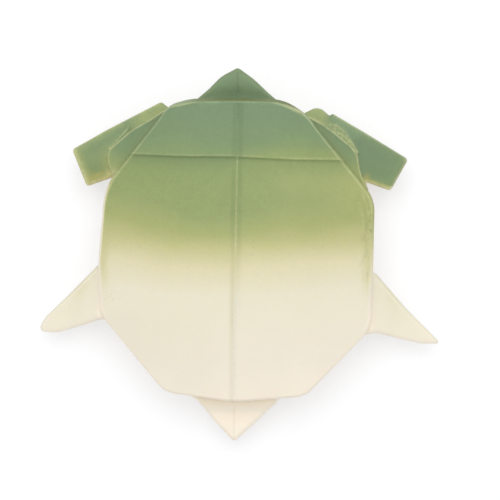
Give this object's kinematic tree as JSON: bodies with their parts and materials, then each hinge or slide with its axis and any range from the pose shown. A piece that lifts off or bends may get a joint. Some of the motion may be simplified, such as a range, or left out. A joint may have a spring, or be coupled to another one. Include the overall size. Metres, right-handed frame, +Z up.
{
  "type": "rubber turtle teether",
  "caption": "Soft rubber turtle teether shaped like folded paper, with a creased hollow shell, a pointed head and tail and flippers that bend at their roots.",
  "frame": {"origin": "under the middle of the turtle, on the surface that its belly rests on", "axes": "+X to the turtle's right, across the flippers; +Y towards the head; +Z up through the shell"},
  "size_m": [0.11, 0.1034, 0.027],
  "materials": {
    "shell": "matt sprayed paint, moss green that fades to cream towards the tail",
    "painted_tabs": "matt sprayed paint, leaf green",
    "underside": "matt natural rubber, cream"
  },
  "bodies": {
    "body": {"carapace": "shell", "plastron": "underside", "casting_plug": "underside"},
    "head": {"head": "painted_tabs"},
    "tail": {"tail": "underside"},
    "front_left_flipper": {"front_left_flipper": "painted_tabs"},
    "front_right_flipper": {"front_right_flipper": "painted_tabs"},
    "rear_left_flipper": {"rear_left_flipper": "underside"},
    "rear_right_flipper": {"rear_right_flipper": "underside"}
  },
  "joints": [
    {"name": "head_bend", "type": "hinge", "parent": "body", "child": "head", "pos_m": [0, 0.0392, 0.009], "axis": [1, 0, 0], "range_deg": [-15, 12], "stiffness_Nm_per_rad": 0.04},
    {"name": "tail_bend", "type": "hinge", "parent": "body", "child": "tail", "pos_m": [0, -0.0376, 0.009], "axis": [-1, 0, 0], "range_deg": [-15, 18], "stiffness_Nm_per_rad": 0.04},
    {"name": "front_left_bend", "type": "hinge", "parent": "body", "child": "front_left_flipper", "pos_m": [-0.02434, 0.02757, 0.009], "axis": [0.6355, 0.7721, 0], "range_deg": [-15, 15], "stiffness_Nm_per_rad": 0.04},
    {"name": "front_right_bend", "type": "hinge", "parent": "body", "child": "front_right_flipper", "pos_m": [0.02434, 0.02757, 0.009], "axis": [0.6355, -0.7721, 0], "range_deg": [-15, 15], "stiffness_Nm_per_rad": 0.04},
    {"name": "rear_left_bend", "type": "hinge", "parent": "body", "child": "rear_left_flipper", "pos_m": [-0.0349, -0.01178, 0.009], "axis": [-0.0451, 0.999, 0], "range_deg": [-15, 18], "stiffness_Nm_per_rad": 0.04},
    {"name": "rear_right_bend", "type": "hinge", "parent": "body", "child": "rear_right_flipper", "pos_m": [0.0349, -0.01178, 0.009], "axis": [-0.0451, -0.999, 0], "range_deg": [-15, 18], "stiffness_Nm_per_rad": 0.04}
  ]
}
